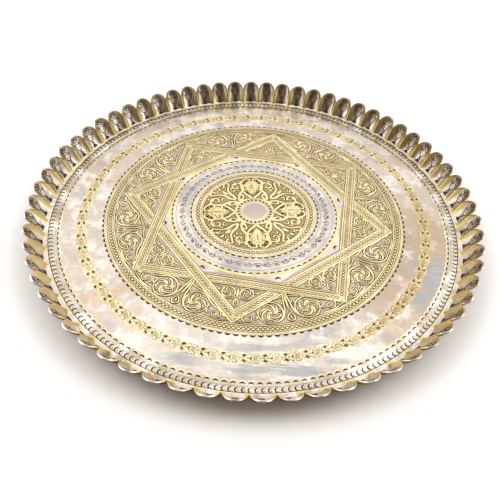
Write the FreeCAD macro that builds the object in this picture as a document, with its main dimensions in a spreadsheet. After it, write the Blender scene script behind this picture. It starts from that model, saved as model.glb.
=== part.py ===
"""A round presentation tray in silvered and parcel-gilt brass: a flat floor inside a wall of upright petals.

Three pieces are soldered together. The wall is one fluted ring of petals with a narrow flange turned in at
its foot. The floor is a plain disc that lies on the flange. A flat border ring lies on the floor's edge and
covers the joint, and its outer edge swells into every petal.

Millimetres, +Z up, origin on the table under the middle of the tray.
"""

import FreeCAD, Part
import math
import os
import Sketcher

PETALS = 66

# Driving dimensions: alias and value. Radii are from the tray's axis.
DIMENSIONS = [
    ("floor_radius", 235.2),
    ("floor_thickness", 1.2),
    ("border_inner_radius", 227.3),
    ("border_middle_radius", 238.2),
    ("border_ridge_radius", 235.7),
    ("border_thickness", 1.0),
    ("border_height", 2.4),
    ("flange_inner_radius", 223.0),
    ("flange_thickness", 1.2),
    ("flange_overlap", 0.9),
    ("wall_thickness", 1.2),
    ("half_pitch", 180.0 / PETALS),
    ("notch_drop", 9.5),
    ("notch_lean", 24.0),
    ("notch_reach", 40.0),
    ("petals", PETALS),
]

# The wall's shape, from the foot up: height, inner radius in the middle of a petal, inner radius on a ridge.
WALL_LEVELS = [
    (0.0, 237.0, 235.2),
    (7.2, 242.6, 238.6),
    (14.5, 247.2, 242.4),
    (22.0, 251.0, 246.3),
    (29.0, 253.8, 249.4),
]
for number, (height, middle, ridge) in enumerate(WALL_LEVELS):
    DIMENSIONS += [
        (f"level{number}_height", height),
        (f"level{number}_middle", middle),
        (f"level{number}_ridge", ridge),
    ]
SIZE = dict(DIMENSIONS)
TOP = len(WALL_LEVELS) - 1

# The notch between two petals reaches this far above the petals' crowns, so that it is open at the top.
NOTCH_HEADROOM = 3.0


def make_sheet(doc):
    """The spreadsheet that holds every driving dimension as a plain number with an alias."""
    sheet = doc.addObject("Spreadsheet::Sheet", "dims")
    for row, (alias, value) in enumerate(DIMENSIONS, start=1):
        sheet.set(f"A{row}", alias)
        sheet.set(f"B{row}", str(value))
        sheet.setAlias(f"B{row}", alias)
    doc.recompute()
    return sheet


def new_body(doc, name):
    """An empty body whose name and label are the piece's name."""
    body = doc.addObject("PartDesign::Body", name)
    body.Label = name
    return body


def origin_feature(body, role):
    """One of a body's own origin planes or axes, by its role."""
    return next(f for f in body.Origin.OriginFeatures if f.Role == role)


def new_sketch(body, name, height_alias=None):
    """A sketch on the body's XY plane, raised to a height from the sheet where one is named."""
    sketch = body.newObject("Sketcher::SketchObject", name)
    sketch.AttachmentSupport = [(origin_feature(body, "XY_Plane"), "")]
    sketch.MapMode = "FlatFace"
    if height_alias:
        sketch.setExpression("AttachmentOffset.Base.z", f"dims.{height_alias} * 1 mm")
    return sketch


def drive(sketch, constraint, name, expression):
    """Adds a dimension to a sketch under a name, and binds it to the sheet."""
    index = sketch.addConstraint(constraint)
    sketch.renameConstraint(index, name)
    sketch.setExpression(f"Constraints.{name}", expression)


def arc_circle(middle, ridge):
    """Centre distance and radius of the arc through a petal's middle and the ridges on both sides of it."""
    tilt = math.radians(SIZE["half_pitch"])
    half_width = ridge * math.sin(tilt)
    sagitta = middle - ridge * math.cos(tilt)
    radius = (half_width**2 + sagitta**2) / (2 * sagitta)
    return middle - radius, radius


def arc_end(centre, radius):
    """Angle, about the arc's own centre, at which an arc meets the plane of a ridge."""
    tilt = math.radians(SIZE["half_pitch"])
    reach = centre * math.cos(tilt) + math.sqrt(radius**2 - (centre * math.sin(tilt)) ** 2)
    return math.atan2(reach * math.sin(tilt), reach * math.cos(tilt) - centre)


def add_arc(sketch, centre, radius, half_angle):
    """An arc about a point on the sketch's X axis, the same on both sides of that axis."""
    circle = Part.Circle(FreeCAD.Vector(centre, 0, 0), FreeCAD.Vector(0, 0, 1), radius)
    return sketch.addGeometry(Part.ArcOfCircle(circle, -half_angle, half_angle), False)


def add_crown(sketch, curve, start, name, expression):
    """A driven point where a curve crosses the X axis, in the middle of a petal."""
    point = sketch.addGeometry(Part.Point(FreeCAD.Vector(start, 0, 0)), True)
    sketch.addConstraint(Sketcher.Constraint("PointOnObject", point, 1, -1))
    sketch.addConstraint(Sketcher.Constraint("PointOnObject", point, 1, curve))
    drive(sketch, Sketcher.Constraint("DistanceX", -1, 1, point, 1, start), name, expression)


def close_on_ridges(sketch, inner, outer):
    """Two radial lines that join an inner and an outer arc on the ridge planes of one petal."""
    for end, name in ((2, "tilt_left"), (1, "tilt_right")):
        edge = Part.LineSegment(sketch.getPoint(inner, end), sketch.getPoint(outer, end))
        line = sketch.addGeometry(edge, False)
        sketch.addConstraint(Sketcher.Constraint("Coincident", line, 1, inner, end))
        sketch.addConstraint(Sketcher.Constraint("Coincident", line, 2, outer, end))
        sketch.addConstraint(Sketcher.Constraint("PointOnObject", -1, 1, line))
        first, second = (-1, line) if end == 2 else (line, -1)
        tilt = math.radians(SIZE["half_pitch"])
        angle = Sketcher.Constraint("Angle", first, 1, second, 1, tilt)
        drive(sketch, angle, name, "dims.half_pitch * 1 deg")


def petal_sector(body, name, inner_alias, edge, height_alias=None):
    """A flat sector from a circle about the tray's axis out to one petal's share of a scalloped edge.

    The edge is given as two pairs, for the petal's middle and for its ridges: starting radius and expression.
    """
    (middle, middle_expression), (ridge, ridge_expression) = edge
    sketch = new_sketch(body, name, height_alias)
    inner = add_arc(sketch, 0.0, SIZE[inner_alias], math.radians(SIZE["half_pitch"]))
    centre, radius = arc_circle(middle, ridge)
    outer = add_arc(sketch, centre, radius, arc_end(centre, radius))
    sketch.addConstraint(Sketcher.Constraint("Coincident", inner, 3, -1, 1))
    sketch.addConstraint(Sketcher.Constraint("PointOnObject", outer, 3, -1))
    close_on_ridges(sketch, inner, outer)
    add_crown(sketch, outer, middle, "middle", middle_expression)
    inner_radius = Sketcher.Constraint("Radius", inner, SIZE[inner_alias])
    drive(sketch, inner_radius, "inner", f"dims.{inner_alias} * 1 mm")
    drive(sketch, Sketcher.Constraint("Distance", -1, 1, outer, 2, ridge), "ridge", ridge_expression)
    return sketch


def wall_section(body, level):
    """One petal's wall, cut level: two arcs about one centre, closed on the ridge planes."""
    sketch = new_sketch(body, f"wall_sketch_{level}", f"level{level}_height")
    middle, ridge = SIZE[f"level{level}_middle"], SIZE[f"level{level}_ridge"]
    thickness = SIZE["wall_thickness"]
    centre, radius = arc_circle(middle, ridge)
    inner = add_arc(sketch, centre, radius, arc_end(centre, radius))
    outer = add_arc(sketch, centre, radius + thickness, arc_end(centre, radius + thickness))
    sketch.addConstraint(Sketcher.Constraint("Coincident", outer, 3, inner, 3))
    sketch.addConstraint(Sketcher.Constraint("PointOnObject", inner, 3, -1))
    close_on_ridges(sketch, inner, outer)
    add_crown(sketch, inner, middle, "middle", f"dims.level{level}_middle * 1 mm")
    outside = f"(dims.level{level}_middle + dims.wall_thickness) * 1 mm"
    add_crown(sketch, outer, middle + thickness, "outside", outside)
    ridge_distance = Sketcher.Constraint("Distance", -1, 1, inner, 2, ridge)
    drive(sketch, ridge_distance, "ridge", f"dims.level{level}_ridge * 1 mm")
    return sketch


def pad(body, name, sketch, thickness_alias):
    """A pad upwards from a sketch, to a thickness from the sheet."""
    feature = body.newObject("PartDesign::Pad", name)
    feature.Profile = sketch
    feature.setExpression("Length", f"dims.{thickness_alias} * 1 mm")
    sketch.Visibility = False
    return feature


def repeat_round(body, name, originals):
    """The originals repeated all round the tray, once for every petal."""
    pattern = body.newObject("PartDesign::PolarPattern", name)
    pattern.Originals = originals
    pattern.Axis = (origin_feature(body, "Z_Axis"), [""])
    pattern.Angle = 360
    pattern.setExpression("Occurrences", "dims.petals")
    pattern.Refine = True
    body.Tip = pattern
    body.Document.recompute()
    return pattern


def make_floor_plate(doc):
    """The floor: a plain disc that lies on the wall's flange."""
    body = new_body(doc, "floor_plate")
    sketch = new_sketch(body, "floor_sketch")
    circle = Part.Circle(FreeCAD.Vector(0, 0, 0), FreeCAD.Vector(0, 0, 1), SIZE["floor_radius"])
    sketch.addGeometry(circle, False)
    sketch.addConstraint(Sketcher.Constraint("Coincident", 0, 3, -1, 1))
    radius = Sketcher.Constraint("Radius", 0, SIZE["floor_radius"])
    drive(sketch, radius, "floor", "dims.floor_radius * 1 mm")
    pad(body, "floor_disc", sketch, "floor_thickness")
    body.setExpression("Placement.Base.z", "dims.flange_thickness * 1 mm")
    doc.recompute()
    return body


def make_border_ring(doc):
    """The flat ring on the floor's edge, whose own outer edge swells into every petal."""
    body = new_body(doc, "border_ring")
    edge = (
        (SIZE["border_middle_radius"], "dims.border_middle_radius * 1 mm"),
        (SIZE["border_ridge_radius"], "dims.border_ridge_radius * 1 mm"),
    )
    sector = petal_sector(body, "border_sketch", "border_inner_radius", edge)
    share = pad(body, "border_share", sector, "border_thickness")
    doc.recompute()
    repeat_round(body, "border_scallops", [share])
    body.setExpression("Placement.Base.z", "dims.border_height * 1 mm")
    doc.recompute()
    return body


def notch_sketch(body):
    """The gap above a ridge between two rounded petal tips, on a plane that leans with the wall."""
    sketch = new_sketch(body, "notch_sketch")
    # Sketch X runs along the rim and sketch Y up the wall, from the level of the petals' crowns.
    turn = FreeCAD.Rotation(FreeCAD.Vector(0, 0, 1), 90 - SIZE["half_pitch"])
    rise = FreeCAD.Rotation(FreeCAD.Vector(1, 0, 0), 90 - SIZE["notch_lean"])
    sketch.AttachmentOffset = FreeCAD.Placement(FreeCAD.Vector(0, 0, 0), turn.multiply(rise))
    base = "AttachmentOffset.Base"
    sketch.setExpression(f"{base}.x", f"dims.level{TOP}_middle * cos(dims.half_pitch * 1 deg) * 1 mm")
    sketch.setExpression(f"{base}.y", f"-dims.level{TOP}_middle * sin(dims.half_pitch * 1 deg) * 1 mm")
    sketch.setExpression(f"{base}.z", f"dims.level{TOP}_height * 1 mm")

    half_width = SIZE[f"level{TOP}_middle"] * math.tan(math.radians(SIZE["half_pitch"]))
    drop = SIZE["notch_drop"]
    left, right = FreeCAD.Vector(-half_width, 0, 0), FreeCAD.Vector(half_width, 0, 0)
    foot = FreeCAD.Vector(0, -drop, 0)
    headroom = FreeCAD.Vector(0, NOTCH_HEADROOM, 0)
    # Each flank is the rounded edge of one petal: a quarter of an ellipse from its crown to the notch's foot.
    halfway = 1 - math.cos(math.pi / 4)
    left_bend = FreeCAD.Vector(-half_width * halfway, -drop * halfway, 0)
    right_bend = FreeCAD.Vector(half_width * halfway, -drop * halfway, 0)
    outline = [
        Part.Arc(left, left_bend, foot),
        Part.Arc(foot, right_bend, right),
        Part.LineSegment(right, right + headroom),
        Part.LineSegment(right + headroom, left + headroom),
        Part.LineSegment(left + headroom, left),
    ]
    for edge in outline:
        number = sketch.addGeometry(edge, False)
        sketch.addConstraint(Sketcher.Constraint("Block", number))
    return sketch


def make_petal_wall(doc):
    """The wall: one petal with its share of the flange, repeated all round, then a notch over every ridge."""
    body = new_body(doc, "petal_wall")
    reach = SIZE["flange_overlap"]
    edge = (
        (SIZE["level0_middle"] + reach, "(dims.level0_middle + dims.flange_overlap) * 1 mm"),
        (SIZE["level0_ridge"] + reach, "(dims.level0_ridge + dims.flange_overlap) * 1 mm"),
    )
    sector = petal_sector(body, "flange_sketch", "flange_inner_radius", edge)
    flange = pad(body, "flange", sector, "flange_thickness")
    sections = [wall_section(body, level) for level in range(len(WALL_LEVELS))]
    doc.recompute()
    petal = body.newObject("PartDesign::AdditiveLoft", "petal")
    petal.Profile = sections[0]
    petal.Sections = sections[1:]
    petal.Ruled = False
    petal.Closed = False
    doc.recompute()
    repeat_round(body, "petal_row", [flange, petal])

    square_topped = body.Shape.Volume
    notch = body.newObject("PartDesign::Pocket", "notch")
    notch.Profile = notch_sketch(body)
    notch.Type = "Length"
    notch.Midplane = True
    notch.setExpression("Length", "dims.notch_reach * 1 mm")
    body.Tip = notch
    doc.recompute()
    if body.Shape.Volume > square_topped - 1:
        raise RuntimeError("the notch cuts nothing")
    repeat_round(body, "notch_row", [notch])
    return body


def check(doc, pieces):
    """Stops on any failed object, and on any piece that isn't one valid closed solid."""
    for item in doc.Objects:
        if "Invalid" in item.State or "Error" in item.State:
            raise RuntimeError(f"{item.Name} failed: {item.State}")
    for piece in pieces:
        shape = piece.Shape
        if shape.isNull() or not shape.isValid() or len(shape.Solids) != 1:
            raise RuntimeError(f"{piece.Label}: not one valid solid")
        box = shape.optimalBoundingBox(True, False)
        size = f"x {box.XLength:.2f}, y {box.YLength:.2f}, z {box.ZMin:.2f} to {box.ZMax:.2f}"
        print(f"{piece.Label}: {shape.Volume:.0f} mm3, {size}")


def main():
    doc = FreeCAD.newDocument("brass_tray")
    make_sheet(doc)
    pieces = [make_floor_plate(doc), make_border_ring(doc), make_petal_wall(doc)]
    doc.recompute()
    check(doc, pieces)
    os.makedirs("parts", exist_ok=True)
    for piece in pieces:
        piece.Shape.exportStep(os.path.join("parts", f"{piece.Label}.step"))


main()
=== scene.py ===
"""Looks of the brass tray: engraved, parcel-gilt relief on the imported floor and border, and a petalled wall.

Lengths below are millimetres in the tray's own frame, and meshes are scaled to metres when they are made.
"""

import math

import bmesh
import bpy
import numpy as np
from mathutils import Matrix, Vector


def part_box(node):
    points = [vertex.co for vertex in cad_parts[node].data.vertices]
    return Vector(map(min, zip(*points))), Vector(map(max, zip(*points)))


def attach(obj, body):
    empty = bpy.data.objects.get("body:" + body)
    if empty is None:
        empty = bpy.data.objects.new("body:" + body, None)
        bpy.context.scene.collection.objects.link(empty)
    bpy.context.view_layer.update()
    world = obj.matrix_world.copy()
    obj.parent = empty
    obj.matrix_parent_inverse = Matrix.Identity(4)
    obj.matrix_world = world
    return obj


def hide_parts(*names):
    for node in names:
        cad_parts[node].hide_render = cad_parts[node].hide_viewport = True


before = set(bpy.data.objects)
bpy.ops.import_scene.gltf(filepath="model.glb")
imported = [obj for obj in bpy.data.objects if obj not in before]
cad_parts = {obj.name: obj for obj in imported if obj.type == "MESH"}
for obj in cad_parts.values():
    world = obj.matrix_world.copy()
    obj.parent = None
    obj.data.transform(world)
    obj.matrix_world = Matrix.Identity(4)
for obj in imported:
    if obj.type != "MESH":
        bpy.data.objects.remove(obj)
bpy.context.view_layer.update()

MM = 0.001
TAU = 2 * math.pi

# Levels that the relief stands on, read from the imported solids.
FLOOR_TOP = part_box("floor_plate")[1].z / MM
BORDER_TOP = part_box("border_ring")[1].z / MM
WALL_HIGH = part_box("petal_wall")[1]
RIM_HEIGHT = WALL_HIGH.z / MM
RIM_RADIUS = WALL_HIGH.x / MM

# Rings of the decoration, from the middle outwards.
CENTRE_DISC = 13.5
TEETH_RING = 20.8
ROSETTE_EDGE = 61.8
ROSETTE_OUT = 75.6
BAND_OUT = 95.6
INNER_RING_OUT = 101.2
STRIP_WIDTH = 12.4
MEDALLION_IN = 162.3
MEDALLION_OUT = 176.2
WREATH_IN = 193.6
WREATH_OUT = 205.2
LAPPET_IN = 221.6
LAPPET_OUT = 227.2

# Rows of beads, punches and fine lines, by the radius of their middle.
ROSETTE_BEADS = 67.2
ROSETTE_CRESCENTS = 73.2
VINE_LINES = (78.4, 92.6)
VINE_MIDDLE = 85.2
INNER_RING_CRESCENTS = 98.8
STAR_MOONS = 107.0
MEDALLION_BEADS = 167.5
MEDALLION_LINE = 170.9
MEDALLION_CRESCENTS = 173.4
LAPPET_LOBES = 225.3
LAPPET_PUNCHES = 226.2
BORDER_LINE = 228.3
BORDER_ROW = 231.9
CREVICE = 234.6
FEET_IN = 234.9

# Levels: the matted grounds, and the foot of the punch marks.
GROUND = FLOOR_TOP + 0.05
PUNCH_FOOT = FLOOR_TOP + 0.1

# The star is two squares, set out by hand, so that each corner has its own radius and bearing in degrees.
SQUARES = (
    ((162.4, -8.9), (162.5, 81.5), (159.6, 172.7), (163.2, 263.3)),
    ((162.5, 35.9), (160.4, 126.5), (162.2, 217.9), (163.2, 306.4)),
)
ROSETTE_TURN = 5.9

# How often each motif repeats round the tray.
PETALS = 66
HALF_PITCH = math.pi / PETALS
CENTRE_TEETH = 25
ROSETTE_LOBES = 64
ROSETTE_BEAD_COUNT = 80
VINE_WAVES = 26
INNER_RING_LOBES = 79
MEDALLION_LOBES = 137
MEDALLION_BEAD_COUNT = 222
GARLAND_UNITS = 64
LAPPETS = 177
BORDER_CRESCENTS = 245


# ---- shapes


class Relief:
    """The vertices and faces of one piece, gathered from many small closed solids."""

    def __init__(self):
        self.parts = []

    def add(self, verts, faces):
        self.parts.append((np.asarray(verts, float), faces))

    def join(self, other, turn=0.0):
        """Adds another relief, turned about the tray's axis."""
        c, s = math.cos(turn), math.sin(turn)
        for verts, faces in other.parts:
            v = verts.copy()
            x, y = v[:, 0].copy(), v[:, 1].copy()
            v[:, 0], v[:, 1] = c * x - s * y, s * x + c * y
            self.parts.append((v, faces))

    def round_tray(self, other, count):
        for k in range(count):
            self.join(other, TAU * k / count)

    def arrays(self):
        verts, faces, base = [], [], 0
        for v, f in self.parts:
            verts.append(v)
            faces += [tuple(i + base for i in face) for face in f]
            base += len(v)
        return np.concatenate(verts), faces


def loft(loops, closed=False):
    """Closed solid through equal loops of points: quads between loops, and a cap on each open end."""
    rows, across = len(loops), len(loops[0])
    verts = np.concatenate(loops)
    faces = []
    for r in range(rows if closed else rows - 1):
        a, b = r * across, ((r + 1) % rows) * across
        for k in range(across):
            n = (k + 1) % across
            faces.append((a + k, a + n, b + n, b + k))
    if not closed:
        faces.append(tuple(reversed(range(across))))
        faces.append(tuple(range((rows - 1) * across, rows * across)))
    return verts, faces


# A rounded ridge's section: share of the half width, share of the height.
RIDGE_SECTION = ((-1.0, 0.0), (-0.66, 0.78), (0.0, 1.0), (0.66, 0.78), (1.0, 0.0))


def ribbon(relief, path, width, base, height, closed=False):
    """A rounded raised line along a flat path; the width may be one number or one per point."""
    p = np.asarray(path, float)
    w = np.broadcast_to(np.asarray(width, float), (len(p),)) / 2
    ahead = np.roll(p, -1, 0) - np.roll(p, 1, 0) if closed else np.gradient(p, axis=0)
    ahead /= np.maximum(np.linalg.norm(ahead, axis=1), 1e-9)[:, None]
    side = np.stack([-ahead[:, 1], ahead[:, 0]], 1)
    loops = []
    for k in range(len(p)):
        flat = [p[k] + side[k] * w[k] * u for u, _ in RIDGE_SECTION]
        lift = [base + height * h for _, h in RIDGE_SECTION]
        loops.append(np.column_stack([flat, lift]))
    relief.add(*loft(loops, closed))


def slab(relief, outline, base, top):
    """A flat closed solid with the given outline."""
    o = np.asarray(outline, float)
    low = np.column_stack([o, np.full(len(o), base)])
    high = np.column_stack([o, np.full(len(o), top)])
    relief.add(*loft([low, high]))


def full_turn(steps):
    """Equal bearings all the way round."""
    return np.linspace(0, TAU, steps, endpoint=False)


def polar(radius, angle):
    """Flat points from radii and bearings."""
    return np.column_stack([radius * np.cos(angle), radius * np.sin(angle)])


def circle(radius, steps=240):
    return polar(radius, full_turn(steps))


def band(relief, inner, outer, height, steps=360):
    """A flat ring on the floor; inner and outer are radii, or functions that give a radius at an angle."""
    angles = full_turn(steps)
    r_in = inner(angles) if callable(inner) else np.full(steps, float(inner))
    r_out = outer(angles) if callable(outer) else np.full(steps, float(outer))
    c, s = np.cos(angles), np.sin(angles)
    top = FLOOR_TOP + height
    corners = [(r_in, FLOOR_TOP), (r_out, FLOOR_TOP), (r_out, top), (r_in, top)]
    loops = [np.array([[r[k] * c[k], r[k] * s[k], z] for r, z in corners]) for k in range(steps)]
    relief.add(*loft(loops, closed=True))


def disc(relief, radius, base, top, steps=96, centre=(0.0, 0.0)):
    slab(relief, circle(radius, steps) + centre, base, top)


def dome(relief, x, y, radius, base, height, sides=10):
    """A low round boss."""
    loops = []
    for share, lift in ((1.0, 0.0), (0.86, 0.5), (0.52, 0.88), (0.12, 1.0)):
        ring = circle(radius * share, sides) + (x, y)
        loops.append(np.column_stack([ring, np.full(sides, base + height * lift)]))
    relief.add(*loft(loops))


def scallops(radius, depth, count):
    """A radius that swells out in lobes with sharp notches between; a negative depth turns them inwards."""
    return lambda a: radius - depth * (1 - np.abs(np.cos(count * a / 2)) ** 0.8)


def half_moon(relief, centre, radius, facing, spread, thickness, base, top):
    """A crescent that bulges towards an angle, thickest in its middle."""
    a = np.linspace(-spread / 2, spread / 2, 9)
    outer = polar(radius, facing + a)
    inner = polar(radius - thickness * np.cos(a / spread * math.pi), facing + a)
    slab(relief, np.concatenate([outer, inner[-2:0:-1]]) + centre, base, top)


def curve_through(points, steps=7):
    """A smooth path through the points."""
    p = [np.asarray(q, float) for q in points]
    p = [2 * p[0] - p[1]] + p + [2 * p[-1] - p[-2]]
    out = []
    for k in range(1, len(p) - 2):
        for t in np.linspace(0, 1, steps, endpoint=False):
            a, b, c, d = p[k - 1 : k + 3]
            bend, twist = 2 * a - 5 * b + 4 * c - d, 3 * b - a - 3 * c + d
            out.append(0.5 * (2 * b + (c - a) * t + bend * t**2 + twist * t**3))
    out.append(p[-2])
    return np.array(out)


def spiral(centre, start_radius, end_radius, start, sweep, steps):
    t = np.linspace(0, 1, steps)
    r = start_radius + (end_radius - start_radius) * t
    return polar(r, start + sweep * t) + centre


def leaf_spine(base_point, tip, lean):
    """A leaf's bowed middle line, the direction across it, and the swell of its width along it."""
    a, b = np.asarray(base_point, float), np.asarray(tip, float)
    along = b - a
    side = np.array([-along[1], along[0]]) / np.linalg.norm(along)
    t = np.linspace(0, 1, 9)
    middle = a + t[:, None] * along + side * (lean * np.sin(math.pi * t))[:, None]
    return middle, side, np.sin(math.pi * t**0.8)


def leaf_outline(base_point, tip, width, lean=0.0):
    """A pointed leaf between two points."""
    middle, side, swell = leaf_spine(base_point, tip, lean)
    half = (width / 2 * swell)[:, None]
    left, right = middle + side * half, middle - side * half
    return np.concatenate([left, right[-2:0:-1]])


class Chased:
    """Gilt line work with the dark punched groove that a chaser leaves beside every raised line."""

    def __init__(self, base, height=0.5, groove=0.82):
        self.gilt, self.dark = Relief(), Relief()
        self.base, self.height, self.groove = base, height, groove

    def line(self, path, width, closed=False):
        ribbon(self.gilt, path, width, self.base, self.height, closed)
        w = np.asarray(width, float)
        ribbon(self.dark, path, w + 2 * self.groove, self.base, 0.1, closed)

    def sweep(self, points, wide, narrow):
        """A stem through the points that thins towards its end."""
        path = curve_through(points)
        self.line(path, np.linspace(wide, narrow, len(path)))

    def stem(self, side, points, wide, narrow):
        """A sweep on the right, with side 1, or mirrored to the left, with side -1."""
        self.sweep([(side * x, y) for x, y in points], wide, narrow)

    def leaf(self, base_point, tip, width, lean=0.0):
        middle, _, swell = leaf_spine(base_point, tip, lean)
        self.line(middle, 0.3 + width * swell)

    def hook(self, x, y, size, start, hand):
        """A short comma-shaped leaf that curls in on itself."""
        path = spiral((x, y), size, size * 0.2, start, hand * 3.4, 12)
        swell = np.sin(np.linspace(0.1, 0.95, 12) * math.pi)
        self.line(path, 0.5 + size * 0.36 * swell)

    def join(self, other, turn):
        self.gilt.join(other.gilt, turn)
        self.dark.join(other.dark, turn)

    def bead(self, x, y, radius, ring=0.82):
        """A boss struck with a ring punch, which leaves a dark circle round it."""
        disc(self.dark, radius * 0.9 + ring, self.base, self.base + 0.12, 12, (x, y))
        dome(self.gilt, x, y, radius * 0.9, self.base + 0.02, self.height * 0.8, 9)


# ---- materials


class Finish:
    """A node material built in steps, in object coordinates, so that it holds from every side."""

    def __init__(self, name, metallic, roughness):
        self.material = bpy.data.materials.new(name)
        self.material.use_nodes = True
        self.tree = self.material.node_tree
        self.shader = self.tree.nodes["Principled BSDF"]
        self.shader.inputs["Metallic"].default_value = metallic
        self.shader.inputs["Roughness"].default_value = roughness
        self.place = self.tree.nodes.new("ShaderNodeTexCoord").outputs["Object"]
        self.colour = None

    def feed(self, socket, value):
        """Links a socket to another node's output, or sets it to a number, a vector or a colour."""
        if hasattr(value, "is_output"):
            self.tree.links.new(value, socket)
        else:
            socket.default_value = (*value, 1.0) if socket.type == "RGBA" else value

    def node(self, kind, **values):
        made = self.tree.nodes.new(kind)
        for key, value in values.items():
            if key in made.inputs:
                self.feed(made.inputs[key], value)
            else:
                setattr(made, key, value)
        return made

    def noise(self, scale, detail=4.0, rough=0.55, stretch=(1.0, 1.0, 1.0), shift=(0.0, 0.0, 0.0)):
        mapping = self.node("ShaderNodeMapping", Vector=self.place, Scale=stretch, Location=shift)
        settings = {"Vector": mapping.outputs[0], "Scale": scale, "Detail": detail, "Roughness": rough}
        return self.node("ShaderNodeTexNoise", **settings).outputs["Fac"]

    def mask(self, value, low, high):
        """Turns a value into 0 below low and 1 above high."""
        made = self.node("ShaderNodeMapRange", Value=value)
        made.inputs["From Min"].default_value = low
        made.inputs["From Max"].default_value = high
        made.interpolation_type = "SMOOTHSTEP"
        return made.outputs["Result"]

    def maths(self, operation, a, b=0.0):
        made = self.node("ShaderNodeMath", operation=operation)
        self.feed(made.inputs[0], a)
        self.feed(made.inputs[1], b)
        return made.outputs[0]

    def times(self, a, b):
        return self.maths("MULTIPLY", a, b)

    def near(self, x, y, radius, softness):
        """1 close to a point of the tray, in millimetres, and 0 away from it."""
        offset = self.node("ShaderNodeVectorMath", operation="DISTANCE")
        self.tree.links.new(self.place, offset.inputs[0])
        offset.inputs[1].default_value = (x * MM, y * MM, FLOOR_TOP * MM)
        away = self.mask(offset.outputs["Value"], (radius - softness) * MM, (radius + softness) * MM)
        return self.maths("SUBTRACT", 1.0, away)

    def start(self, colour):
        self.colour = colour

    def blend(self, colour, factor):
        """Lays a colour over the ones so far."""
        mix = self.node("ShaderNodeMix", data_type="RGBA")
        # The mix node's sockets share names, so they go by number: factor, colour below, colour above.
        for socket, value in ((0, factor), (6, self.colour), (7, colour)):
            self.feed(mix.inputs[socket], value)
        self.colour = mix.outputs[2]

    def cloud(self, colour, low, high, strength, scale, detail=4.0, rough=0.55, shift=(0.0, 0.0, 0.0)):
        """Lays a colour over the peaks of a noise."""
        peaks = self.mask(self.noise(scale, detail, rough, shift=shift), low, high)
        self.blend(colour, self.times(peaks, strength))

    def rough(self, value, low, high):
        made = self.node("ShaderNodeMapRange", Value=value)
        made.inputs["To Min"].default_value = low
        made.inputs["To Max"].default_value = high
        self.tree.links.new(made.outputs["Result"], self.shader.inputs["Roughness"])

    def bump(self, value, strength, distance_mm):
        made = self.node("ShaderNodeBump", Height=value)
        made.inputs["Strength"].default_value = strength
        made.inputs["Distance"].default_value = distance_mm * MM
        self.tree.links.new(made.outputs["Normal"], self.shader.inputs["Normal"])

    def done(self):
        self.feed(self.shader.inputs["Base Color"], self.colour)
        return self.material


CREAM = (0.61, 0.54, 0.465)
WHITE = (0.82, 0.795, 0.755)
BLUSH = (0.60, 0.43, 0.335)
SLATE = (0.32, 0.34, 0.36)
GILT = (0.76, 0.62, 0.325)
PALE_GILT = (0.66, 0.56, 0.37)
DARK = (0.036, 0.024, 0.013)
MAUVE = (0.50, 0.41, 0.33)


def silver_floor():
    """The plain bands: silver wash worn thin in patches, with copper blush and slate tarnish, painted shade at
    the right and a painted highlight at the front edge.
    """
    f = Finish("silvered_floor", 0.75, 0.42)
    f.start(CREAM)
    f.cloud(WHITE, 0.46, 0.56, 0.8, 34, 6, 0.62)
    f.cloud((0.50, 0.43, 0.365), 0.52, 0.60, 0.5, 55, 6, 0.65, (1.0, 8.0, 0.0))
    blush = f.mask(f.noise(30, 6, 0.62, shift=(3.0, 1.0, 0.0)), 0.53, 0.61)
    blush = f.times(blush, f.mask(f.noise(9, 3), 0.40, 0.60))
    f.blend(BLUSH, f.times(blush, 0.85))
    # Three places where copper shows.
    rosy = f.maths("ADD", f.near(158, -112, 34, 20), f.near(-150, -130, 36, 24))
    rosy = f.maths("ADD", f.near(186, -22, 46, 26), rosy)
    rosy = f.times(rosy, f.mask(f.noise(27, 6, 0.64, shift=(2.0, 9.0, 0.0)), 0.46, 0.53))
    f.blend((0.60, 0.405, 0.285), f.times(rosy, 0.75))
    grey = f.mask(f.noise(32, 6, 0.66, shift=(7.0, 4.0, 0.0)), 0.54, 0.60)
    grey = f.times(grey, f.mask(f.noise(8, 3, shift=(4.0, 4.0, 0.0)), 0.42, 0.58))
    f.blend((0.37, 0.365, 0.365), f.times(grey, 0.65))
    # Browner at the right, partly wear and partly painted shade, and paler at the front edge as a painted
    # highlight, where the lights alone give too little difference.
    wear_and_painted_shade = f.times(f.near(195, -85, 100, 48), f.mask(f.noise(30, 6, 0.65), 0.41, 0.48))
    f.blend((0.42, 0.315, 0.22), f.times(wear_and_painted_shade, 0.82))
    f.blend((0.90, 0.87, 0.83), f.times(f.near(-40, -222, 100, 40), 0.32))
    # Heavier tarnish in streaks at the front and in one patch at the right.
    streaks = f.mask(f.noise(34, 6, 0.66, stretch=(0.35, 2.4, 1.0)), 0.45, 0.55)
    front = f.maths("ADD", f.near(12, -215, 42, 22), f.near(66, -212, 34, 20))
    front = f.maths("ADD", front, f.near(-62, -203, 16, 12))
    front = f.times(streaks, f.times(front, 0.72))
    right = f.times(f.near(196, -104, 38, 16), f.mask(f.noise(26, 6, 0.6), 0.36, 0.44))
    f.blend(SLATE, f.maths("MINIMUM", f.maths("ADD", front, right), 0.84))
    f.cloud((0.50, 0.42, 0.34), 0.38, 0.66, 0.3, 160, 5, 0.7)
    scratch = f.mask(f.noise(260, 1, 0.4, stretch=(0.1, 1.6, 1.0)), 0.66, 0.72)
    f.blend((0.86, 0.85, 0.83), f.times(scratch, 0.15))
    f.rough(f.noise(40, 5, 0.6), 0.26, 0.50)
    f.bump(f.maths("ADD", f.noise(38, 4), f.times(scratch, 0.3)), 0.3, 0.3)
    return f.done()


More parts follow.
